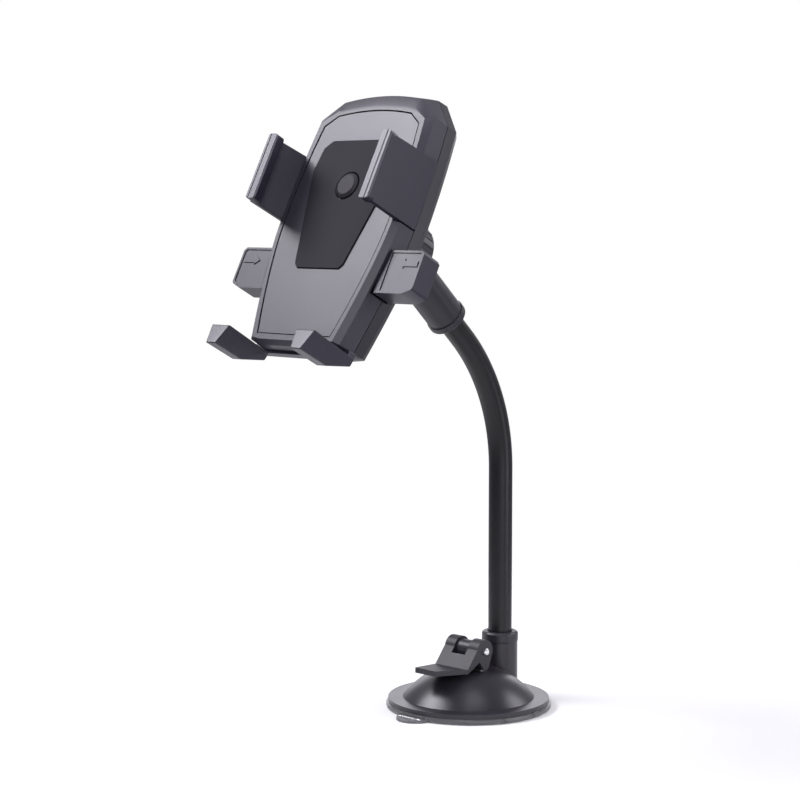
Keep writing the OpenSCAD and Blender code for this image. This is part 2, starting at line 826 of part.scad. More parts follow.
module lock_nut() color("dimgray")
    at_ball()
    difference() {
        union() {
            translate([0, 0, -nut_rear])
                rotate_extrude()
                polygon([[0, 0], [nut_d / 2 - 2.2, 0], [nut_d / 2 - 0.4, 1.8],
                         [nut_d / 2 - 0.4, nut_l - 1], [nut_d / 2 - 1.4, nut_l], [0, nut_l]]);
            for (i = [0 : nut_ribs - 1])
                rotate([0, 0, i * 360 / nut_ribs])
                translate([nut_d / 2 - nut_rib_r, 0, 2.4 - nut_rear])
                cylinder(r = nut_rib_r, h = nut_l - 4);
        }
        sphere(socket_r);
        // mouth that leaves the stem room to lean
        translate([0, 0, -nut_rear - cut])
            cylinder(r1 = nut_mouth_r, r2 = nut_throat_r, h = nut_rear - nut_hold + cut);
        translate([0, 0, -nut_step]) cylinder(r = boss_r + fit_gap, h = nut_l);
    }

// ================= cradle shells =================

module screw_places() {
    for (p = [upper_screw, lower_screw])
        mirrored() translate([p[0], p[1], 0]) children();
}

module back_shell() color([0.2, 0.2, 0.21])
    in_cradle()
    difference() {
        union() {
            difference() {
                loft(concat([for (l = back_levels)
                      [l[0] - body_d, side_grow - l[1], top_grow - l[2], bottom_grow - l[3]]],
                     [[-parting_d - shell_seam, side_grow, top_grow, bottom_grow]]));
                translate([0, 0, -inner_back])
                    linear_extrude(inner_back)
                    outline(inner_grow, top_grow - back_top_wall, -back_bottom_in);
            }
            // screw pillars
            screw_places()
                translate([0, 0, -inner_back - cut])
                cylinder(r = screw_boss_r, h = inner_back - parting_d - shell_seam);
            // seat of the pinion axle
            translate([0, pinion_v, -inner_back - back_floor]) cylinder(r = seat_r, h = back_floor + fit_gap);
            // anchors of the return springs
            translate([-spring_post_u, right_spring_v, -inner_back - cut])
                cylinder(r = lug_r, h = inner_back - lug_top);
            translate([spring_post_u, left_spring_v, -inner_back - cut])
                cylinder(r = lug_r, h = inner_back - lug_top);
            // bearings of the latch
            mirrored()
                block([latch_post_in, latch_v - latch_post_v, -inner_back - cut],
                      [latch_post_out, latch_v + latch_post_v, -latch_depth + latch_post_v]);
            // threaded socket of the ball joint
            translate([0, ball_up, -ball_back + boss_end])
                cylinder(r = boss_r, h = ball_back - body_d - boss_end + 1);
        }
        translate([0, ball_up, -ball_back]) {
            sphere(socket_r);
            translate([0, 0, -1]) cylinder(r = socket_r, h = 1.5);
            for (a = [45, 135])
                rotate([0, 0, a])
                block([-2 * boss_r, -collet_slot_w / 2, -1], [2 * boss_r, collet_slot_w / 2, socket_r - 2]);
        }
        screw_places() {
            translate([0, 0, -body_d - 1]) cylinder(r = screw_head_r + soft_gap, h = 1 + screw_head_h + screw_sink);
            translate([0, 0, -body_d - 1]) cylinder(r = screw_r + fit_gap, h = body_d);
        }
        translate([0, pinion_v, -inner_back - 1.5]) cylinder(r = axle_r + press_gap, h = 3);
        translate([0, latch_v, -latch_depth]) rotate([0, 90, 0])
            cylinder(r = latch_axle_r + press_gap, h = 4 * latch_post_out, center = true);
        // windows of the squeeze tabs and of the arms behind them
        mirrored() {
            block([half_w - window_in, tab_top - tab_h - soft_gap, -tab_back - soft_gap],
                  [2 * half_w, tab_top + soft_gap, 0]);
            block([half_w - window_in, left_root[0] - soft_gap, -layer_b - layer_t - 0.1],
                  [2 * half_w, right_root[1] + soft_gap, 0]);
        }
    }

module front_shell() color([0.27, 0.27, 0.29])
    in_cradle()
    difference() {
        union() {
            difference() {
                loft([[-parting_d, side_grow, top_grow, bottom_grow],
                      [-shoulder_d, side_grow, shoulder_top, bottom_grow - 0.5],
                      [rim_up, rim_w, rim_w + 0.4, rim_w + 0.4]]);
                translate([0, 0, -parting_d - 1])
                    linear_extrude(parting_d + 1 - inner_front)
                    outline(inner_grow, front_inner_top, front_inner_bottom);
            }
            // cup round the trigger button
            translate([0, button_up, -cup_floor - cup_floor_t])
                cylinder(r = cup_in_r + cup_wall, h = cup_floor + cup_floor_t - panel_t);
            // screw pillars
            screw_places()
                translate([0, 0, -parting_d])
                cylinder(r = screw_boss_r, h = parting_d - panel_t - 0.5);
        }
        // bed of the face panel
        translate([0, 0, -panel_t]) linear_extrude(panel_t + 2) outline(panel_gap, panel_gap, panel_gap);
        translate([0, button_up, -cup_floor]) cylinder(r = cup_in_r, h = cup_floor + 1);
        translate([0, button_up, -cup_floor - 2]) cylinder(r = shaft_r + fit_gap, h = 4);
        screw_places()
            translate([0, 0, -parting_d - 1]) cylinder(r = screw_r + press_gap, h = parting_d - inner_front);
        mirrored() {
            // bed of the closed jaw and slot of its arm
            jaw_plate(jaw_in - soft_gap, 2 * half_w, 2, -parting_d - 1, jaw_bed_gap);
            block([half_w - 4, arm_low - soft_gap, -parting_d - 1],
                  [2 * half_w, arm_high + soft_gap, -arm_front + soft_gap]);
            // window of the squeeze tab
            block([half_w - window_in, tab_top - tab_h - soft_gap, -parting_d - 1],
                  [2 * half_w, tab_top + soft_gap, -tab_front + soft_gap]);
        }
        // slot of the foot bracket
        block([-bar_end - soft_gap, -half_l - 2 * bottom_grow, -parting_d - 1],
              [bar_end + soft_gap, foot_top + bar_h + soft_gap, -bar_front + soft_gap]);
        block([-tongue_w / 2 - soft_gap, -half_l - bottom_grow, -parting_d - 1],
              [tongue_w / 2 + soft_gap, -half_l + 3, -tongue_front + soft_gap]);
    }

module face_panel() color([0.42, 0.42, 0.45])
    in_cradle()
    difference() {
        translate([0, 0, -panel_t]) linear_extrude(panel_t) outline();
        translate([0, 0, -grip_pocket]) linear_extrude(2) grip_outline(fit_gap);
        translate([0, button_up, -2 * panel_t]) cylinder(r = cup_in_r, h = 3 * panel_t);
    }

module grip_outline(grow = 0)
    union() {
        polygon([[-grip_top_u, grip_top_v + grow], [grip_top_u, grip_top_v + grow],
                 [grip_shoulder_u + grow, grip_shoulder_v], [grip_wide_u + grow, grip_wide_v],
                 [grip_bottom_u + grow, grip_bottom_v + grip_corner],
                 [grip_bottom_u - grip_corner, grip_bottom_v - grow],
                 [grip_corner - grip_bottom_u, grip_bottom_v - grow],
                 [-grip_bottom_u - grow, grip_bottom_v + grip_corner],
                 [-grip_wide_u - grow, grip_wide_v], [-grip_shoulder_u - grow, grip_shoulder_v]]);
    }

module grip_pad() color([0.12, 0.12, 0.13])
    in_cradle()
    difference() {
        translate([0, 0, fit_gap / 2 - grip_pocket]) linear_extrude(grip_pocket + grip_up - fit_gap / 2) grip_outline();
        translate([0, button_up, -2]) cylinder(r = cup_in_r + 0.2, h = 4);
    }

module shell_screws() color("silver")
    in_cradle()
    screw_places()
    translate([0, 0, -body_d + screw_sink]) {
        cylinder(r = screw_head_r, h = screw_head_h);
        cylinder(r = screw_r, h = screw_l);
    }

// ================= trigger and latch =================

module trigger_button() color([0.2, 0.2, 0.21])
    in_cradle()
    translate([0, button_up, 0])
    rotate_extrude()
    polygon([[0, button_h], [button_d / 2 - button_edge, button_h], [button_d / 2, button_h - 0.6 * button_edge],
             [button_d / 2, -skirt_end], [button_d / 2 - cap_wall, -skirt_end],
             [button_d / 2 - cap_wall, cap_inner], [shaft_r, cap_inner],
             [shaft_r, -cup_floor - cup_floor_t - fit_gap],
             [clip_r, -cup_floor - cup_floor_t - fit_gap],
             [clip_r - 0.3, -cup_floor - cup_floor_t - fit_gap - clip_t],
             [shaft_r, -cup_floor - cup_floor_t - fit_gap - clip_t],
             [shaft_r, -shaft_end + shaft_tip_l], [shaft_tip_r, -shaft_end], [0, -shaft_end]]);

module button_spring() color("silver")
    in_cradle()
    translate([0, button_up, -cup_floor + button_wire / 2 + coil_clear])
    coil(button_spring_r, button_wire,
         cup_floor + cap_inner - button_wire - 3 * coil_clear, button_coils, 6, 12);

module latch_lever() color("silver")
    in_cradle()
    difference() {
        union() {
            translate([0, latch_v, -latch_depth]) rotate([0, 90, 0])
                cylinder(r = latch_hub_r, h = 2 * latch_post_in - 2 * soft_gap, center = true);
            block([-latch_w / 2, latch_low, -latch_depth - latch_t + 0.1],
                  [latch_w / 2, latch_high, -latch_depth + 0.1]);
            block([-latch_w / 2, latch_low, -layer_a + soft_gap],
                  [latch_w / 2, latch_low + 1.6, -latch_depth]);
        }
        translate([0, latch_v, -latch_depth]) rotate([0, 90, 0])
            cylinder(r = latch_axle_r + running_gap, h = 20, center = true);
    }

module latch_axle() color("silver")
    in_cradle()
    translate([0, latch_v, -latch_depth])
    rotate([0, 90, 0])
    cylinder(r = latch_axle_r, h = 2 * latch_post_out, center = true);

// ================= rack and pinion =================

base_r = pitch_r * cos(pressure_angle);
tip_r = pitch_r + pinion_addendum;
root_r = pitch_r - rack_addendum - gear_clear;

// polar angle of an involute point at radius r, in degrees
function involute(r) =
    let (t = sqrt(max(0, pow(r / base_r, 2) - 1)))
    t * 180 / PI - atan(t);

// half of a tooth's angle at radius r
function tooth_half(r) =
    90 / pinion_teeth - backlash / 2 / pitch_r * 180 / PI / 2
    + involute(pitch_r) - involute(max(r, base_r));

module pinion_tooth() {
    radii = [root_r - 0.2, base_r, (base_r + pitch_r) / 2, pitch_r, (pitch_r + tip_r) / 2, tip_r];
    side = [for (r = radii) [r * sin(tooth_half(r)), r * cos(tooth_half(r))]];
    other = [for (i = [len(side) - 1 : -1 : 0]) [-side[i][0], side[i][1]]];
    polygon(concat(side, other));
}

module pinion() color("white")
    in_cradle()
    translate([0, pinion_v, -layer_b - layer_t])
    linear_extrude(layer_b + layer_t - layer_a)
    difference() {
        union() {
            circle(root_r);
            for (i = [0 : pinion_teeth - 1])
                rotate([0, 0, i * 360 / pinion_teeth]) pinion_tooth();
        }
        circle(axle_r + running_gap);
    }

module pinion_axle() color("silver")
    in_cradle()
    translate([0, pinion_v, 0]) {
        translate([0, 0, -inner_back - 1.4]) cylinder(r = axle_r, h = inner_back + 1.4 - layer_a + 0.2);
        translate([0, 0, -layer_a + 0.2]) cylinder(r = axle_r + 1, h = 0.8);
    }

// rack bar with its teeth pointing down towards Y = 0, the pitch line
module rack_bar(from, to) {
    pitch = PI * gear_m;
    depth = pinion_addendum + gear_clear;
    lean = tan(pressure_angle);
    half = pitch / 4 - backlash / 4;
    translate([from, depth]) square([to - from, rack_h]);
    for (i = [ceil(from / pitch) : floor(to / pitch) - 1])
        translate([(i + 0.5) * pitch, 0])
            polygon([[-half - depth * lean, depth + cut], [-half + rack_addendum * lean, -rack_addendum],
                     [half - rack_addendum * lean, -rack_addendum], [half + depth * lean, depth + cut]]);
}

// ================= jaws =================

// lower and upper edge of a jaw at depth w
function jaw_bottom(w) = jaw_low + jaw_slope * (jaw_reach - w) / (jaw_reach + jaw_back);
function jaw_top(w) = jaw_low + jaw_h - jaw_lean + (jaw_lean + jaw_slope) * (jaw_reach - w) / (jaw_reach + jaw_back);

// slab with the jaw's sloping side view, between two depths
module jaw_plate(from, to, front, back, grow = 0)
    translate([from, 0, 0])
    rotate([90, 0, 90])
    linear_extrude(to - from)
    polygon([[jaw_bottom(front) - grow, front], [jaw_top(front) + grow, front],
             [jaw_top(back) + grow, back], [jaw_bottom(back) - grow, back]]);

// hooked lip along the front of a jaw, with a fine groove near its outer edge
module jaw_lip() {
    low = jaw_bottom(jaw_reach);
    high = jaw_top(jaw_reach) + lip_rise;
    inner = jaw_out - lip_w;
    outer = jaw_out + lip_proud;
    ridge = outer - lip_strip;
    intersection() {
        translate([0, high, 0])
            rotate([90, 0, 0])
            linear_extrude(high - low)
            polygon([[inner, jaw_reach - lip_t], [inner, jaw_reach - 2 * lip_groove],
                     [inner + 2 * lip_groove, jaw_reach], [ridge - 3 * lip_groove, jaw_reach],
                     [ridge - 2 * lip_groove, jaw_reach - lip_groove],
                     [ridge - lip_groove, jaw_reach - lip_groove], [ridge, jaw_reach],
                     [outer - lip_chamfer, jaw_reach], [outer, jaw_reach - lip_chamfer],
                     [outer, jaw_reach - lip_t]]);
        linear_extrude(jaw_reach + 1) soft_corners([inner, low], [outer, high], lip_corner);
    }
}

// outline of a squeeze tab that points to +X
module tab_outline() {
    out = tabs_w / 2;
    low = tab_top - tab_h;
    polygon([[tab_in, low], [out - tab_chamfer_u, low], [out - 0.6, low + tab_chamfer_v],
             [out, low + tab_chamfer_v + 1.2], [out, tab_top - tab_corner],
             [out - tab_corner, tab_top], [tab_in, tab_top]]);
}

// raised arrow that points towards the cradle
module tab_arrow()
    translate([tabs_w / 2 - arrow_in, tab_top - arrow_down])
    polygon([[0, -arrow_w / 2], [0, arrow_w / 2], [arrow_head_l - arrow_l, arrow_w / 2],
             [arrow_head_l - arrow_l, arrow_head_w / 2], [-arrow_l, 0],
             [arrow_head_l - arrow_l, -arrow_head_w / 2], [arrow_head_l - arrow_l, -arrow_w / 2]]);

module squeeze_tab(layer, root)
    difference() {
        union() {
            translate([0, 0, -tab_back]) linear_extrude(tab_back - tab_front) tab_outline();
            block([tab_in, root[0], -layer - layer_t], [tab_in + tab_root, root[1], -tab_back + 1]);
        }
        translate([0, 0, -tab_front - tab_recess])
            linear_extrude(1)
            difference() {
                intersection() {
                    tab_panel();
                    translate([half_w + tab_field_in, tab_top - tab_h]) square([tabs_w, tab_h]);
                }
                tab_arrow();
            }
        // hollow back
        block([tab_in + tab_root + 1, tab_top - tab_h + 1.6, -tab_back - 1],
              [tabs_w / 2 - tab_chamfer_u - 1.2, tab_top - 1.6, -tab_front - 2]);
    }

// the tab's outline moved in by its border
module tab_panel() {
    out = tabs_w / 2 - tab_border;
    low = tab_top - tab_h + tab_border;
    high = tab_top - tab_border;
    polygon([[tab_in, low], [out - tab_chamfer_u + 1, low], [out - 0.6, low + tab_chamfer_v],
             [out, low + tab_chamfer_v + 1], [out, high - 0.8], [out - 0.8, high], [tab_in, high]]);
}

// jaw on the +X side with the arm that carries it, and the tab on the -X side;
// its rack lies above the pinion when side is 1 and below it when side is -1
module jaw_slider(layer, side, spring_v, root, arm_top) {
    plate = -layer - layer_t;
    step_low = pinion_v + pitch_r + pinion_addendum + gear_clear + rack_h + 0.5;
    jaw_plate(jaw_in + jaw_pad_t, jaw_out, jaw_reach - lip_t + 1, -jaw_back);
    jaw_lip();
    block([arm_in, arm_low, -arm_back], [jaw_in + jaw_pad_t + 0.5, arm_high, -arm_front]);
    block([arm_in, step_low, plate], [arm_in + arm_step, arm_high, -arm_front]);
    translate([0, 0, plate])
        linear_extrude(layer_t) {
            translate([column_u, root[0]]) square([column_w, spring_v + 2 - root[0]]);
            translate([-tab_in - tab_root, root[0]]) square([tab_in + tab_root + column_u + 0.1, arm_top - root[0]]);
            translate([column_u, step_low]) square([arm_in + arm_step - column_u, arm_high - step_low]);
        }
    difference() {
        translate([0, pinion_v + side * pitch_r, plate])
            linear_extrude(layer_t)
            mirror([0, (1 - side) / 2])
            rack_bar(-rack_reach, column_u + 0.1);
        // notch that the latch drops into when the jaws are open
        if (side > 0)
            block([-jaw_travel - latch_w / 2 - 0.5, latch_low - 0.3, -layer - 0.7],
                  [-jaw_travel + latch_w / 2 + 0.5, 2 * latch_low, -layer + 1]);
    }
    translate([column_u + column_w / 2, spring_v, plate])
        cylinder(r = lug_r, h = layer + layer_t - lug_top);
    mirror([1, 0, 0]) squeeze_tab(layer, root);
}

module right_jaw_slider() color([0.22, 0.22, 0.23])
    in_cradle() jaw_slider(layer_a, 1, right_spring_v, right_root, right_root[1]);

module left_jaw_slider() color([0.22, 0.22, 0.23])
    in_cradle() mirror([1, 0, 0]) jaw_slider(layer_b, -1, left_spring_v, left_root, left_arm_top);

module jaw_pad() color([0.1, 0.1, 0.11])
    in_cradle()
    jaw_plate(jaw_in, jaw_in + jaw_pad_t, jaw_reach - lip_t - fit_gap, -pad_back);

module right_jaw_pad() jaw_pad();
module left_jaw_pad() mirror([1, 0, 0]) jaw_pad();

// coil between a post on the back shell at -X and a lug on the slider
module return_spring(v) {
    first = -spring_post_u;
    last = column_u + column_w / 2;
    eye = lug_r + fit_gap + jaw_spring_wire / 2;
    from = first + eye + 1.2;
    to = last - eye - 1.2;
    steps = 8 * jaw_spring_turns;
    translate([0, v, -jaw_spring_depth])
        wire(concat(
            [for (a = [390 : -30 : 90]) [first + eye * cos(a), eye * sin(a), 0]],
            [for (i = [0 : steps])
                [from + (to - from) * i / steps, jaw_spring_r * cos(45 * i), jaw_spring_r * sin(45 * i)]],
            [for (a = [90 : -30 : -210]) [last + eye * cos(a), eye * sin(a), 0]]),
            jaw_spring_wire);
}

module right_return_spring() color("silver")
    in_cradle() return_spring(right_spring_v);

module left_return_spring() color("silver")
    in_cradle() mirror([1, 0, 0]) return_spring(left_spring_v);

// ================= foot bracket =================

foot_top = -half_l - bottom_grow - bar_gap;
foot_bottom = foot_top + claw_rise - claw_h;
bar_end = (claw_spacing + claw_bottom_w) / 2;

module claw()
    intersection() {
        translate([0, 0, -claw_back])
            linear_extrude(claw_back + claw_reach)
            polygon([[-claw_top_w / 2, foot_top + claw_rise], [-claw_bottom_w / 2, foot_bottom],
                     [claw_bottom_w / 2, foot_bottom], [claw_top_w / 2, foot_top + claw_rise]]);
        translate([-claw_top_w, 0, 0])
            rotate([90, 0, 90])
            linear_extrude(2 * claw_top_w)
            polygon([[foot_top, -claw_back], [foot_top + claw_rise, claw_reach - claw_lean],
                     [foot_bottom, claw_reach], [foot_bottom, claw_chamfer_w - claw_back],
                     [foot_bottom + claw_chamfer_v, -claw_back]]);
    }

module foot_bracket() color([0.22, 0.22, 0.23])
    in_cradle() {
        mirrored() translate([claw_spacing / 2, 0, 0]) claw();
        block([-bar_end, foot_top - 0.6, -bar_back], [bar_end, foot_top + bar_h, -bar_front]);
        block([-tongue_w / 2, foot_top, -tongue_back], [tongue_w / 2, tongue_top, -tongue_front]);
    }

suction_pad();
base_housing();
plunger();
release_spring();
suction_lever();
lever_pin();
base_collar();
neck_screw();
neck_core_base();
neck_core_low();
neck_core_mid();
neck_core_head();
neck_sleeve();
neck_collar();
ball_stem();
friction_ring();
ball_liner();
lock_nut();
back_shell();
front_shell();
face_panel();
grip_pad();
trigger_button();
button_spring();
latch_lever();
latch_axle();
pinion();
pinion_axle();
right_jaw_slider();
left_jaw_slider();
right_jaw_pad();
left_jaw_pad();
right_return_spring();
left_return_spring();
foot_bracket();
shell_screws();
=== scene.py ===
"""Looks of the car phone mount: finishes, light and camera, in metres, in the CAD row's frame."""
import json
import math

import bmesh
import bpy
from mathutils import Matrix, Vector

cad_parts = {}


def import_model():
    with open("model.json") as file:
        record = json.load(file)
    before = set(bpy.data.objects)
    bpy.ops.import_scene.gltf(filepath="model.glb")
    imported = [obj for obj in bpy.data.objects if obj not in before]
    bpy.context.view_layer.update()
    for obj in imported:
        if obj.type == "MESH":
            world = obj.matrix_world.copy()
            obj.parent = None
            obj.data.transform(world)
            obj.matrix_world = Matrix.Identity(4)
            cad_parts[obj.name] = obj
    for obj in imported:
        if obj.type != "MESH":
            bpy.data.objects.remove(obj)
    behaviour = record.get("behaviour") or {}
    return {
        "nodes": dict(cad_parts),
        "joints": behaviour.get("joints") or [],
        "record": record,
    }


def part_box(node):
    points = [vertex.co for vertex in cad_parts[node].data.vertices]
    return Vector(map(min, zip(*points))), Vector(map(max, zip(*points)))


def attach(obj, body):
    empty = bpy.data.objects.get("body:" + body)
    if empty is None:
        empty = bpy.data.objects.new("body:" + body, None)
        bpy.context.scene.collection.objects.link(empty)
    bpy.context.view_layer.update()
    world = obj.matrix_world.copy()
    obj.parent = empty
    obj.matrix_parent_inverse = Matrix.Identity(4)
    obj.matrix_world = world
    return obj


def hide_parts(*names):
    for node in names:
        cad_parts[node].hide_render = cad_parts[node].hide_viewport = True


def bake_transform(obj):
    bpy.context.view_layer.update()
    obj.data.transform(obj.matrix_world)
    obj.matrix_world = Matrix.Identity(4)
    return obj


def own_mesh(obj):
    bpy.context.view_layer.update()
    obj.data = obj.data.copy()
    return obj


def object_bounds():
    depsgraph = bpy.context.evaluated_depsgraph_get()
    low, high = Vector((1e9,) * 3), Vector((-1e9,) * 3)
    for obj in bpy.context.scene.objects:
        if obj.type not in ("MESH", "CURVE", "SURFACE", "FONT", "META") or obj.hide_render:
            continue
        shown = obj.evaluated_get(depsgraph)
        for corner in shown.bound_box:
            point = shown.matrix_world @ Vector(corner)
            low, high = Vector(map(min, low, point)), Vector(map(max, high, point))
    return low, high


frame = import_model()
cad_low, cad_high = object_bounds()

nodes = frame["nodes"]
joints = {j["name"]: j for j in frame["joints"]}

CRADLE_FRONT = Vector(joints["cradle_roll"]["axis"])       # direction the cradle faces
JAW_FRONT = max(v.co.dot(CRADLE_FRONT) for v in nodes["right_jaw_slider"].data.vertices)
ACROSS = Vector((1, 0, 0))     # square to the plane that the neck lies in

# ---------------------------------------------------------------- view
LENS = 92.7                    # focal length in mm
SENSOR = 36                    # width of the film in mm
CLIP_START = 0.01
CAMERA = Vector((0.5913, -0.6565, 0.2162))     # place of the camera
LOOK = Vector((-0.6910, 0.7169, -0.0928))      # direction of view
TURN = math.radians(44)        # of the camera about the vertical, from looking along +y
RIGHT = Vector((math.cos(TURN), math.sin(TURN), 0))        # to the right in the picture
AWAY = Vector((-math.sin(TURN), math.cos(TURN), 0))        # level, away from the camera


# ---------------------------------------------------------------- shader nodes
NOISE_ROUGHNESS = 0.55
CLOUD_DETAIL = 4.0             # octaves of the slow change of tone
GRAIN_DETAIL = 2.0             # octaves of the fine relief
GRAIN_DEPTH = 0.00004


def node_material(name, base, roughness, metallic=0.0, specular=0.5):
    """A principled material, with its tree and shader."""
    m = bpy.data.materials.new(name)
    m.use_nodes = True
    tree = m.node_tree
    shader = tree.nodes["Principled BSDF"]
    shader.inputs["Base Color"].default_value = (*base, 1)
    shader.inputs["Roughness"].default_value = roughness
    shader.inputs["Metallic"].default_value = metallic
    shader.inputs["Specular IOR Level"].default_value = specular
    m.diffuse_color = (*base, 1)
    return m, tree, shader


def noise(tree, scale, detail):
    """Value of a noise texture in object coordinates."""
    coord = tree.nodes.new("ShaderNodeTexCoord")
    tex = tree.nodes.new("ShaderNodeTexNoise")
    tex.inputs["Scale"].default_value = scale
    tex.inputs["Detail"].default_value = detail
    tex.inputs["Roughness"].default_value = NOISE_ROUGHNESS
    tree.links.new(coord.outputs["Object"], tex.inputs["Vector"])
    return tex.outputs["Fac"]


def spread(tree, source, low, high, start=0.0, stop=1.0, kind="LINEAR"):
    """Maps start..stop to low..high."""
    ramp = tree.nodes.new("ShaderNodeMapRange")
    ramp.interpolation_type = kind
    ramp.inputs["From Min"].default_value = start
    ramp.inputs["From Max"].default_value = stop
    ramp.inputs["To Min"].default_value = low
    ramp.inputs["To Max"].default_value = high
    tree.links.new(source, ramp.inputs["Value"])
    return ramp.outputs["Result"]


def along(tree, source, direction):
    """How far a point lies along a direction."""
    product = tree.nodes.new("ShaderNodeVectorMath")
    product.operation = "DOT_PRODUCT"
    product.inputs[1].default_value = direction
    tree.links.new(source, product.inputs[0])
    return product.outputs["Value"]


def colour_mix(tree, factor):
    """Node that goes from colour A to colour B."""
    mix = tree.nodes.new("ShaderNodeMix")
    mix.data_type = "RGBA"
    tree.links.new(factor, mix.inputs["Factor"])
    return mix


def shader_mix(tree, factor, one, two):
    """Goes from one shader to another."""
    mix = tree.nodes.new("ShaderNodeMixShader")
    tree.links.new(factor, mix.inputs["Fac"])
    tree.links.new(one, mix.inputs[1])
    tree.links.new(two, mix.inputs[2])
    return mix.outputs["Shader"]


def tint(tree, source, base, change):
    """Base colour that varies by a share of itself."""
    mix = colour_mix(tree, source)
    mix.inputs["A"].default_value = (*[c * (1 - change) for c in base], 1)
    mix.inputs["B"].default_value = (*[c * (1 + change) for c in base], 1)
    return mix.outputs["Result"]


def relief(tree, shader, scale, strength):
    """Fine grain on a shader's surface."""
    bump = tree.nodes.new("ShaderNodeBump")
    bump.inputs["Strength"].default_value = strength
    bump.inputs["Distance"].default_value = GRAIN_DEPTH
    tree.links.new(noise(tree, scale, GRAIN_DETAIL), bump.inputs["Height"])
    tree.links.new(bump.outputs["Normal"], shader.inputs["Normal"])


# ---------------------------------------------------------------- materials
PLASTIC_CLOUD = 60             # scale of the change of tone
PLASTIC_TONE = 0.06            # share by which the colour varies
PLASTIC_SHEEN = 0.04           # by which the roughness varies
PLASTIC_GRAIN = 2600           # scale of the spark-eroded grain
PLASTIC_RELIEF = 0.25
LIP_HIGHLIGHT_DEPTH = 0.0009             # depth of the painted highlight along the front of a jaw

METAL_MARKS = 180              # scale of the turning marks
METAL_STRETCH = (1, 1, 40)     # how much denser they are along z
METAL_TONE = 0.05
METAL_SHEEN = (0.7, 1.4)       # least and most of the roughness, as shares of it

GEL_ROUGHNESS = (0.22, 0.34)
GEL_SPECULAR = 0.4
GEL_CLEAR = 0.8                # share of light that goes through
GEL_IOR = 1.41
GEL_CLOUD = 90
GEL_TONE = 0.05
GEL_GRAIN = 900
GEL_RELIEF = 0.15


def with_lip_highlight(tree, cloud, colour, lip):
    """Colour that turns paler along the front of a jaw: a painted highlight on the lip."""
    coord = tree.nodes.new("ShaderNodeTexCoord")
    depth = along(tree, coord.outputs["Object"], CRADLE_FRONT)
    mix = colour_mix(tree, spread(tree, depth, 0.0, 1.0, JAW_FRONT - LIP_HIGHLIGHT_DEPTH,
                                  JAW_FRONT - LIP_HIGHLIGHT_DEPTH / 2, "SMOOTHSTEP"))
    tree.links.new(colour, mix.inputs["A"])
    tree.links.new(tint(tree, cloud, lip, PLASTIC_TONE), mix.inputs["B"])
    return mix.outputs["Result"]


def plastic(name, base, roughness, grain=PLASTIC_GRAIN, strength=PLASTIC_RELIEF, specular=0.5,
            lip=None):
    """Moulded plastic or rubber with a fine grain; a jaw's also has a painted highlight along its
    lip.
    """
    m, tree, shader = node_material(name, base, roughness, specular=specular)
    cloud = noise(tree, PLASTIC_CLOUD, CLOUD_DETAIL)
    colour = tint(tree, cloud, base, PLASTIC_TONE)
    if lip:
        colour = with_lip_highlight(tree, cloud, colour, lip)
    tree.links.new(colour, shader.inputs["Base Color"])
    tree.links.new(spread(tree, cloud, roughness - PLASTIC_SHEEN, roughness + PLASTIC_SHEEN),
                   shader.inputs["Roughness"])
    relief(tree, shader, grain, strength)
    return m


def metal(name, base, roughness):
    """Machined steel with faint turning marks."""
    m, tree, shader = node_material(name, base, roughness, metallic=1.0)
    coord = tree.nodes.new("ShaderNodeTexCoord")
    place = tree.nodes.new("ShaderNodeMapping")
    place.inputs["Scale"].default_value = METAL_STRETCH
    marks = tree.nodes.new("ShaderNodeTexNoise")
    marks.inputs["Scale"].default_value = METAL_MARKS
    tree.links.new(coord.outputs["Object"], place.inputs["Vector"])
    tree.links.new(place.outputs["Vector"], marks.inputs["Vector"])
    least, most = METAL_SHEEN
    tree.links.new(spread(tree, marks.outputs["Fac"], roughness * least, roughness * most),
                   shader.inputs["Roughness"])
    tree.links.new(tint(tree, marks.outputs["Fac"], base, METAL_TONE), shader.inputs["Base Color"])
    return m


def gel(name, base):
    """Soft clear gel, a little cloudy."""
    m, tree, shader = node_material(name, base, sum(GEL_ROUGHNESS) / 2, specular=GEL_SPECULAR)
    shader.inputs["Transmission Weight"].default_value = GEL_CLEAR
    shader.inputs["IOR"].default_value = GEL_IOR
    cloud = noise(tree, GEL_CLOUD, CLOUD_DETAIL)
    tree.links.new(tint(tree, cloud, base, GEL_TONE), shader.inputs["Base Color"])
    tree.links.new(spread(tree, cloud, *GEL_ROUGHNESS), shader.inputs["Roughness"])
    relief(tree, shader, GEL_GRAIN, GEL_RELIEF)
    return m


ARM_BASE = (0.028, 0.0255, 0.041)              # colour of the jaws, tabs and claws
# paler colour painted along the jaws' lips: a painted highlight on the same plastic
LIP_PAINTED_HIGHLIGHT = (0.100, 0.095, 0.116)
ARM_ROUGHNESS = 0.38

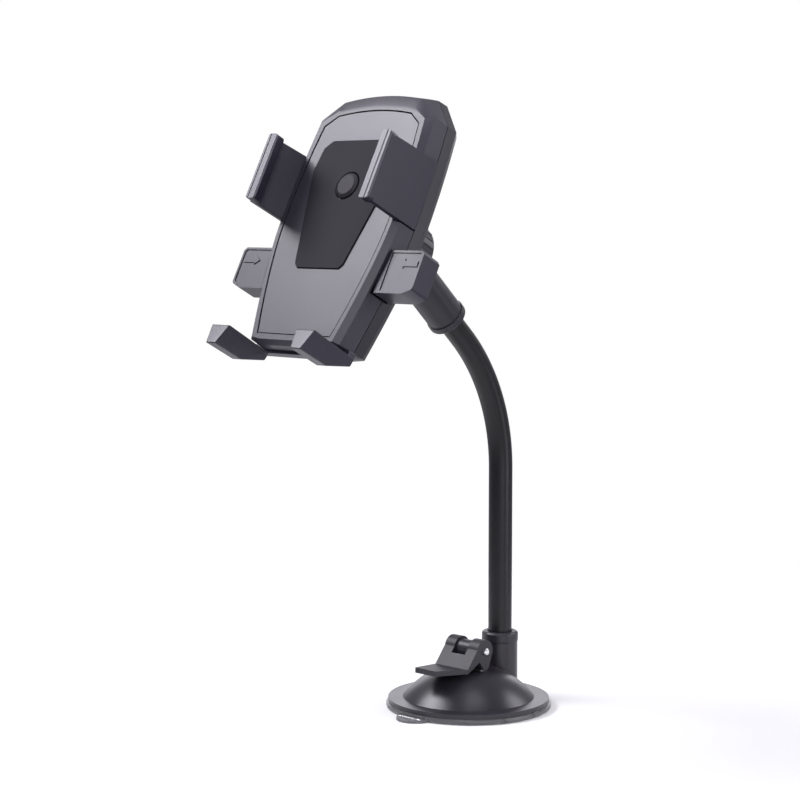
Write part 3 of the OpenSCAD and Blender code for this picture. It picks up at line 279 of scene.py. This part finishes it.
MATERIALS = {                  # finish of each material slot
    "pad_gel": gel("gel_pad", (0.46, 0.46, 0.48)),
    "housing_plastic": plastic("charcoal_plastic", (0.020, 0.0185, 0.0265), 0.40),
    "front_plastic": plastic("graphite_plastic", (0.042, 0.0385, 0.054), 0.40),
    "panel_plastic": plastic("gunmetal_plastic", (0.048, 0.0455, 0.060), 0.38),
    "button_plastic": plastic("button_plastic", (0.022, 0.0205, 0.027), 0.58, specular=0.3),
    "grip_rubber": plastic("grip_rubber", (0.018, 0.0168, 0.0235), 0.68,
                           grain=1300, strength=0.9, specular=0.2),
    "ring_rubber": plastic("ring_rubber", (0.02, 0.02, 0.02), 0.8,
                           grain=3400, strength=0.4, specular=0.3),
    "sleeve_vinyl": plastic("sleeve_vinyl", (0.009, 0.0088, 0.011), 0.36,
                            grain=1800, strength=0.2, specular=0.4),
    "inner_plastic": plastic("inner_plastic", (0.55, 0.55, 0.52), 0.5),
    "gear_plastic": plastic("gear_plastic", (0.62, 0.61, 0.56), 0.45),
    "spring_steel": metal("spring_steel", (0.56, 0.57, 0.58), 0.3),
    "pin_steel": metal("pin_steel", (0.86, 0.87, 0.88), 0.34),
    "screw_steel": metal("screw_steel", (0.42, 0.42, 0.43), 0.35),
    "hose_steel": metal("hose_steel", (0.48, 0.48, 0.49), 0.34),
    "latch_steel": metal("latch_steel", (0.55, 0.55, 0.56), 0.32),
}
# the grip rubber made paler for the jaw pads: painted fill light on their inner faces
jaw_rubber_painted_fill = plastic("jaw_rubber_painted_fill", (0.100, 0.0940, 0.120), 0.64,
                     grain=3400, strength=0.3, specular=0.35)
arm_plastic = plastic("arm_plastic", ARM_BASE, ARM_ROUGHNESS, specular=0.55)
# the jaws: the arm plastic with a painted highlight along the lip
jaw_plastic_lip_highlight = plastic("jaw_plastic_lip_highlight", ARM_BASE, ARM_ROUGHNESS, lip=LIP_PAINTED_HIGHLIGHT)
NODE_MATERIALS = {             # nodes whose finish differs a little from their slot's; the jaws and jaw pads are paler by painted light
    "base_housing": plastic("dome_plastic", (0.022, 0.0205, 0.0275), 0.31),
    "suction_lever": plastic("lever_plastic", (0.019, 0.0178, 0.0238), 0.50),
    "right_jaw_slider": jaw_plastic_lip_highlight,
    "left_jaw_slider": jaw_plastic_lip_highlight,
    "foot_bracket": arm_plastic,
    "right_jaw_pad": jaw_rubber_painted_fill,
    "left_jaw_pad": jaw_rubber_painted_fill,
}

for part in frame["record"]["subparts"]:
    node, slot = part["node"], part["material_slot"]
    obj = nodes[node]
    obj.data.materials.clear()
    obj.data.materials.append(NODE_MATERIALS.get(node, MATERIALS[slot]))


# ---------------------------------------------------------------- edges
BEVEL_SEGMENTS = 3
BEVEL_ANGLE = math.radians(28)                 # edges that are flatter stay sharp
WELD_GAP = 0.000002
FACE_WEIGHT = 100              # how much large faces draw the shading
BEVEL = {                      # width of the rounded edges
    "back_shell": 0.0009, "front_shell": 0.0008, "face_panel": 0.0002, "grip_pad": 0.0003,
    "right_jaw_slider": 0.0006, "left_jaw_slider": 0.0006, "right_jaw_pad": 0.0005,
    "left_jaw_pad": 0.0005, "foot_bracket": 0.0005, "suction_lever": 0.0004,
    "base_housing": 0.0004, "plunger": 0.0003, "lock_nut": 0.0003, "ball_stem": 0.0004,
    "neck_collar": 0.0003, "base_collar": 0.0003, "trigger_button": 0.0002,
}


def soften(obj, width):
    """Rounds a CAD node's edges with modifiers; its own mesh stays as it is."""
    weld = obj.modifiers.new("weld", "WELD")
    weld.merge_threshold = WELD_GAP
    bevel = obj.modifiers.new("edges", "BEVEL")
    bevel.width = width
    bevel.segments = BEVEL_SEGMENTS
    bevel.limit_method = "ANGLE"
    bevel.angle_limit = BEVEL_ANGLE
    bevel.use_clamp_overlap = True
    bevel.harden_normals = True
    bevel.miter_outer = "MITER_ARC"
    even = obj.modifiers.new("shading", "WEIGHTED_NORMAL")
    even.weight = FACE_WEIGHT


for node, width in BEVEL.items():
    soften(nodes[node], width)


# ---------------------------------------------------------------- new meshes
def add_object(name, data):
    """Puts a new object in the scene."""
    obj = bpy.data.objects.new(name, data)
    bpy.context.scene.collection.objects.link(obj)
    return obj


def new_piece(name, mesh, slot):
    """Finishes a bmesh as an object with the slot's material."""
    bmesh.ops.recalc_face_normals(mesh, faces=mesh.faces)
    data = bpy.data.meshes.new(name)
    mesh.to_mesh(data)
    mesh.free()
    obj = add_object(name, data)
    data.materials.append(MATERIALS[slot])
    return obj


def turns(sides):
    """Angles once round."""
    return [2 * math.pi * k / sides for k in range(sides)]


def lathe(mesh, profile, sides):
    """Turns (radius, height) points about the z axis; the first and last lie on it."""
    rings = []
    for r, z in profile:
        if r == 0:
            rings.append([mesh.verts.new((0, 0, z))])
        else:
            rings.append([mesh.verts.new((r * math.cos(t), r * math.sin(t), z))
                          for t in turns(sides)])
    for one, two in zip(rings, rings[1:]):
        for k in range(sides):
            n = (k + 1) % sides
            if len(one) == 1:
                mesh.faces.new((one[0], two[n], two[k]))
            elif len(two) == 1:
                mesh.faces.new((one[k], one[n], two[0]))
            else:
                mesh.faces.new((one[k], one[n], two[n], two[k]))


def tube(mesh, places, radius, sides):
    """Round tube through places of (point, direction, side vector), with sharp-edged ends."""
    rings = []
    for point, way, side in places:
        up = way.cross(side)
        rings.append([mesh.verts.new(point + radius * (math.cos(t) * side + math.sin(t) * up))
                      for t in turns(sides)])
    for one, two in zip(rings, rings[1:]):
        for k in range(sides):
            n = (k + 1) % sides
            mesh.faces.new((one[k], one[n], two[n], two[k])).smooth = True
    for end_ring in (list(reversed(rings[0])), rings[-1]):
        for edge in mesh.faces.new(end_ring).edges:
            edge.smooth = False


# ---------------------------------------------------------------- gel pad
GEL_SIDES = 144
GEL_THICK = 0.00237            # thickness at the rim, a hair under the housing
GEL_FLOOR = 0.0010             # thickness under the plunger's foot
GEL_BORE = 0.0103              # radius of the pocket that the foot moves in
GEL_BOSS = 0.0128              # radius of the raised ring round the pocket
BOSS_FILLET = 0.0004           # at its foot
BOSS_CHAMFER = 0.0003          # at its top
GEL_GROOVES = (0.0295, 0.0315, 0.0335)         # radii of the sealing grooves on the underside
GROOVE = 0.0002                # their depth and half width
RIM_BELOW = ((0.0008, 0), (0.0002, 0.0003), (0, 0.0009))   # rim: inset and height from below
RIM_ABOVE = ((0, 0.0006), (0.0002, 0.0002), (0.0007, 0))   # inset and depth from above
SHARP_ANGLE = math.radians(35)                 # steeper edges are not shaded smooth

TAB_RADIUS = 0.0080
TAB_THICK = 0.0012
TAB_LIFT = 0.0001              # height of its underside over the floor
TAB_SIDES = 96
TAB_BITE = 0.0002              # how far its outline starts inside the pad's edge
TAB_BACK = 0.0003              # how far its back lies inside the edge
TAB_BACK_STEPS = 24
TAB_ROUNDED = 0.0001           # its edges are rounded from this far inside the edge outwards
TAB_ROUND = 0.0004
TAB_ROUND_STEPS = 3
TAB_ROUND_SHAPE = 0.5          # a circular rounding

TAB_RIBS = 4
RIB_START = 0.0014             # from the tab's tip to the first rib
RIB_PITCH = 0.0011
RIB_INSET = 0.0012             # from a rib's end to the tab's outline
RIB_RADIUS = 0.00025
RIB_SIDES = 12


def gel_profile(edge, top):
    """Half section of the pad, from the middle of its underside round to its pocket."""
    points = [(0, 0)]
    for r in GEL_GROOVES:
        points += [(r - 2 * GROOVE, 0), (r - GROOVE, GROOVE),
                   (r + GROOVE, GROOVE), (r + 2 * GROOVE, 0)]
    points += [(edge - inset, height) for inset, height in RIM_BELOW]
    points += [(edge - inset, GEL_THICK - depth) for inset, depth in RIM_ABOVE]
    points += [(GEL_BOSS + BOSS_FILLET, GEL_THICK), (GEL_BOSS, GEL_THICK + BOSS_FILLET),
               (GEL_BOSS, top - BOSS_CHAMFER), (GEL_BOSS - BOSS_CHAMFER, top),
               (GEL_BORE, top), (GEL_BORE, GEL_FLOOR), (0, GEL_FLOOR)]
    return points


def gel_tab(mesh, edge, reach):
    """Rounded pull tab at the pad's front."""
    middle_y = -reach + TAB_RADIUS
    ring = [(TAB_RADIUS * math.sin(t), middle_y - TAB_RADIUS * math.cos(t))
            for t in turns(TAB_SIDES)]
    front = [p for p in ring if math.hypot(*p) > edge - TAB_BITE]
    front = sorted(front, key=lambda p: math.atan2(p[0], middle_y - p[1]))
    first, last = (math.atan2(x, -y) for x, y in (front[-1], front[0]))
    inner = edge - TAB_BACK
    back = [first + (last - first) * k / TAB_BACK_STEPS for k in range(1, TAB_BACK_STEPS)]
    outline = front + [(inner * math.sin(a), -inner * math.cos(a)) for a in back]
    face = mesh.faces.new([mesh.verts.new((x, y, TAB_LIFT)) for x, y in outline])
    sides = bmesh.ops.extrude_face_region(mesh, geom=[face])
    top = [v for v in sides["geom"] if isinstance(v, bmesh.types.BMVert)]
    bmesh.ops.translate(mesh, verts=top, vec=(0, 0, TAB_THICK - TAB_LIFT))
    rim = [e for e in mesh.edges if all(v in top for v in e.verts)
           and all(math.hypot(v.co.x, v.co.y) > edge - TAB_ROUNDED for v in e.verts)]
    bmesh.ops.bevel(mesh, geom=rim, offset=TAB_ROUND, segments=TAB_ROUND_STEPS,
                    profile=TAB_ROUND_SHAPE, affect="EDGES")


def gel_ribs(mesh, tip):
    """Fine round ribs across the pull tab, from its tip."""
    for i in range(TAB_RIBS):
        y = tip + RIB_START + i * RIB_PITCH
        half = math.sqrt(TAB_RADIUS ** 2 - (y - tip - TAB_RADIUS) ** 2) - RIB_INSET
        made = bmesh.ops.create_cone(mesh, cap_ends=True, segments=RIB_SIDES,
                                     radius1=RIB_RADIUS, radius2=RIB_RADIUS, depth=2 * half)
        for v in made["verts"]:
            v.co = Vector((v.co.z, v.co.y + y, v.co.x + TAB_THICK))


def gel_pad():
    """The suction pad: grooved face, rounded rim, pocket for the plunger and ribbed pull tab."""
    low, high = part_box("suction_pad")
    edge = high[0]
    mesh = bmesh.new()
    lathe(mesh, gel_profile(edge, high[2]), GEL_SIDES)
    pad = new_piece("gel_pad", mesh, "pad_gel")
    mesh = bmesh.new()
    gel_tab(mesh, edge, -low[1])
    tab = new_piece("gel_pull_tab", mesh, "pad_gel")
    mesh = bmesh.new()
    gel_ribs(mesh, low[1])
    ribs = new_piece("gel_tab_ribs", mesh, "pad_gel")
    for piece in (pad, tab, ribs):
        for polygon in piece.data.polygons:
            polygon.use_smooth = True
        piece.data.set_sharp_from_angle(angle=SHARP_ANGLE)
        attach(piece, "base")
    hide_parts("suction_pad")


gel_pad()


# ---------------------------------------------------------------- neck sleeve
NECK_Y = joints["neck_bend_low"]["pos_m"][1]
NECK_FOOT = 0.0122             # height of the sleeve's lower end, inside the post
BEND_START = 0.1025            # height where the neck starts to bend
BEND_RADIUS = 0.080
BEND_ANGLE = math.radians(47.16)
NECK_TAIL = 0.029              # straight length past the bend, into the stem
NECK_END = BEND_START + BEND_RADIUS * BEND_ANGLE + NECK_TAIL
NECK_STATIONS = (NECK_FOOT, 0.0705, 0.110, NECK_END)       # lengths between which a piece runs
NECK_SPANS = ((0.042, 0.068), (0.073, 0.099), (0.113, 0.155))      # lengths around the joints of the neck, one for each piece
NECK_BODIES = ("base", "neck_low", "neck_mid", "neck_head")
RING_SIDES = 48
RING_STEP = 0.0015


def neck_place(length):
    """Point and direction of the neck's centreline, at a length along it above the floor."""
    if length <= BEND_START:
        return Vector((0, NECK_Y, length)), Vector((0, 0, 1))
    a = min((length - BEND_START) / BEND_RADIUS, BEND_ANGLE)
    rest = length - BEND_START - a * BEND_RADIUS
    way = Vector((0, -math.sin(a), math.cos(a)))
    point = Vector((0, NECK_Y - BEND_RADIUS * (1 - math.cos(a)),
                    BEND_START + BEND_RADIUS * math.sin(a)))
    return point + way * rest, way


def neck_piece(name, first, last, radius):
    """Tube along the centreline between two lengths, closed at both ends."""
    steps = max(2, round((last - first) / RING_STEP))
    places = [(*neck_place(first + (last - first) * i / steps), ACROSS) for i in range(steps + 1)]
    mesh = bmesh.new()
    tube(mesh, places, radius, RING_SIDES)
    return new_piece(name, mesh, "sleeve_vinyl")


def neck_sleeve():
    """The sleeve in three lengths, between the stations along the neck."""
    low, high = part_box("neck_sleeve")
    radius = (high[0] - low[0]) / 2
    bodies = NECK_BODIES
    for i, span in enumerate(NECK_SPANS):
        piece = neck_piece("sleeve_" + bodies[i], NECK_STATIONS[i], NECK_STATIONS[i + 1], radius)
        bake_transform(piece)
    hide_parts("neck_sleeve")


neck_sleeve()


# ---------------------------------------------------------------- button spring
SPRING_TURNS = 5
SPRING_WIRE = 0.0005           # diameter
SPRING_STEPS = 20              # points per turn
SPRING_SIDES = 8               # of the wire


def button_spring():
    """Coil under the button, carried by the cradle."""
    front = CRADLE_FRONT
    points = [v.co for v in nodes["button_spring"].data.vertices]
    centre = sum((Vector(p) for p in points), Vector()) / len(points)
    depths = [(p - centre).dot(front) for p in points]
    first, last = min(depths), max(depths)
    outer = max(((p - centre) - front * (p - centre).dot(front)).length for p in points)
    radius = outer - SPRING_WIRE / 2
    up = front.cross(ACROSS)
    start = centre + front * (first + SPRING_WIRE / 2)
    length = last - first - SPRING_WIRE
    count = SPRING_TURNS * SPRING_STEPS
    places = []
    for i in range(count + 1):
        turn = 2 * math.pi * i / SPRING_STEPS
        out = math.cos(turn) * ACROSS + math.sin(turn) * up
        round_way = -math.sin(turn) * ACROSS + math.cos(turn) * up
        way = (round_way * radius * 2 * math.pi * SPRING_TURNS + front * length).normalized()
        places.append((start + out * radius + front * length * i / count, way, out))
    mesh = bmesh.new()
    tube(mesh, places, SPRING_WIRE / 2, SPRING_SIDES)
    coil = new_piece("button_coil", mesh, "spring_steel")
    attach(coil, "cradle")
    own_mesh(coil)
    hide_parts("button_spring")


button_spring()


# ---------------------------------------------------------------- stage
STAGE_WHITE = (0.93, 0.93, 0.93)
STAGE_ROUGHNESS = 0.9
STAGE_SPECULAR = 0.1
STAGE_CLEAR = 0.16             # radius of floor that is fully there
STAGE_FADE = 0.42              # radius where the floor has faded away
STAGE_EDGE = 1.05              # radius of the disc, in shares of that
STAGE_SIDES = 96
STAGE_DROP = 0.0001            # from the object down to the floor
STAGE_LIFT = 0.12              # how much paler than lit the floor shows to the camera

WHITE = (1, 1, 1, 1)
LIGHT_TINT = (1.0, 0.985, 1.05)                # colour of the lamps and surroundings
FRONT_LIGHT = 0.03             # strength of the surroundings on the camera's side
BACK_LIGHT = 0.06              # and behind the object
FRONT_GLOSS = 0.04             # the same two, as reflections show them
BACK_GLOSS = 0.40
LEVEL_START = -0.35            # how far backwards a ray points where the level starts to rise
LEVEL_STOP = 0.85              # and where it is all there

LAMPS_FACE = (0, -0.05, 0.12)  # point that all lamps shine at
LAMPS = (                      # name, metres (right, toward the camera, up), size, watts
    ("key_left", (-1.12, -0.2, 1.18), (0.6, 0.6), 8.6),
    ("key_high", (-0.95, -0.3, 1.3), (0.6, 0.6), 5.6),
    ("key_near", (-1, 0.25, 1.2), (0.6, 0.6), 8),
    ("overhead", (0.1, 0.3, 1.5), (0.7, 0.7), 3.6),
    ("side_right", (1.2, 0.5, 0.35), (0.4, 0.9), 6.0),
    ("side_back", (1.2, -0.4, 0.9), (0.6, 0.6), 6.2),
    ("back_low", (0, -1.3, 0.35), (1.2, 0.5), 2.8),
    ("front", (-0.2, 1.4, 0.8), (0.7, 0.7), 6.4),
    ("low_front", (0.45, 1.3, 0.1), (0.9, 0.3), 2.4),
)


def stage_material():
    """White that fades out with distance from the object, over the white background."""
    m, tree, shader = node_material("stage_white", STAGE_WHITE, STAGE_ROUGHNESS,
                                    specular=STAGE_SPECULAR)
    shader.inputs["Emission Color"].default_value = WHITE
    path = tree.nodes.new("ShaderNodeLightPath")
    tree.links.new(spread(tree, path.outputs["Is Camera Ray"], 0.0, STAGE_LIFT),
                   shader.inputs["Emission Strength"])
    coord = tree.nodes.new("ShaderNodeTexCoord")
    length = tree.nodes.new("ShaderNodeVectorMath")
    length.operation = "LENGTH"
    tree.links.new(coord.outputs["Object"], length.inputs[0])
    fade = spread(tree, length.outputs["Value"], 0.0, 1.0, STAGE_CLEAR, STAGE_FADE, "SMOOTHSTEP")
    clear = tree.nodes.new("ShaderNodeBsdfTransparent")
    tree.links.new(shader_mix(tree, fade, shader.outputs["BSDF"], clear.outputs["BSDF"]),
                   tree.nodes["Material Output"].inputs["Surface"])
    return m


def floor():
    """Round white floor under the object."""
    bpy.ops.mesh.primitive_circle_add(vertices=STAGE_SIDES, radius=STAGE_FADE * STAGE_EDGE,
                                      fill_type="NGON", location=(0, 0, cad_low.z - STAGE_DROP))
    disc = bpy.context.object
    disc.name = "stage_floor"
    disc.data.materials.append(stage_material())


def light_level(tree, backwards, front, back):
    """Background whose strength goes from front to back round the object."""
    light = tree.nodes.new("ShaderNodeBackground")
    light.inputs["Color"].default_value = (*LIGHT_TINT, 1)
    tree.links.new(spread(tree, backwards, front, back, LEVEL_START, LEVEL_STOP, "SMOOTHSTEP"),
                   light.inputs["Strength"])
    return light.outputs["Background"]


def world():
    """White to the camera and through gel; as light, bright behind the object and dim in front."""
    w = bpy.data.worlds.new("studio")
    bpy.context.scene.world = w
    w.use_nodes = True
    tree = w.node_tree
    tree.nodes.clear()
    out = tree.nodes.new("ShaderNodeOutputWorld")
    path = tree.nodes.new("ShaderNodeLightPath")
    coord = tree.nodes.new("ShaderNodeTexCoord")
    backwards = along(tree, coord.outputs["Generated"], AWAY)
    lit = light_level(tree, backwards, FRONT_LIGHT, BACK_LIGHT)
    gloss = light_level(tree, backwards, FRONT_GLOSS, BACK_GLOSS)
    seen = tree.nodes.new("ShaderNodeBackground")
    seen.inputs["Color"].default_value = WHITE
    direct = tree.nodes.new("ShaderNodeMath")
    direct.operation = "MAXIMUM"
    tree.links.new(path.outputs["Is Camera Ray"], direct.inputs[0])
    tree.links.new(path.outputs["Is Transmission Ray"], direct.inputs[1])
    shine = shader_mix(tree, path.outputs["Is Glossy Ray"], lit, gloss)
    tree.links.new(shader_mix(tree, direct.outputs["Value"], shine, seen.outputs["Background"]),
                   out.inputs["Surface"])


def aim(obj, place, direction):
    """Places a camera or lamp so that it looks along a direction."""
    obj.location = place
    obj.rotation_euler = direction.to_track_quat("-Z", "Y").to_euler()


def lamp(name, right, toward, up, size, power):
    """Soft box at metres right, toward the camera and up, as the camera sees it."""
    data = bpy.data.lights.new(name, "AREA")
    data.shape = "RECTANGLE"
    data.size, data.size_y = size
    data.energy = power
    data.color = LIGHT_TINT
    place = RIGHT * right - AWAY * toward + Vector((0, 0, up))
    aim(add_object(name, data), place, Vector(LAMPS_FACE) - place)


def camera():
    """The camera of the reference view."""
    data = bpy.data.cameras.new("camera")
    data.lens = LENS
    data.sensor_width = SENSOR
    data.clip_start = CLIP_START
    obj = add_object("camera", data)
    aim(obj, CAMERA, LOOK)
    bpy.context.scene.camera = obj


floor()
world()
camera()
for name, place, size, power in LAMPS:
    lamp(name, *place, size, power)

bpy.context.scene.view_settings.view_transform = "Standard"
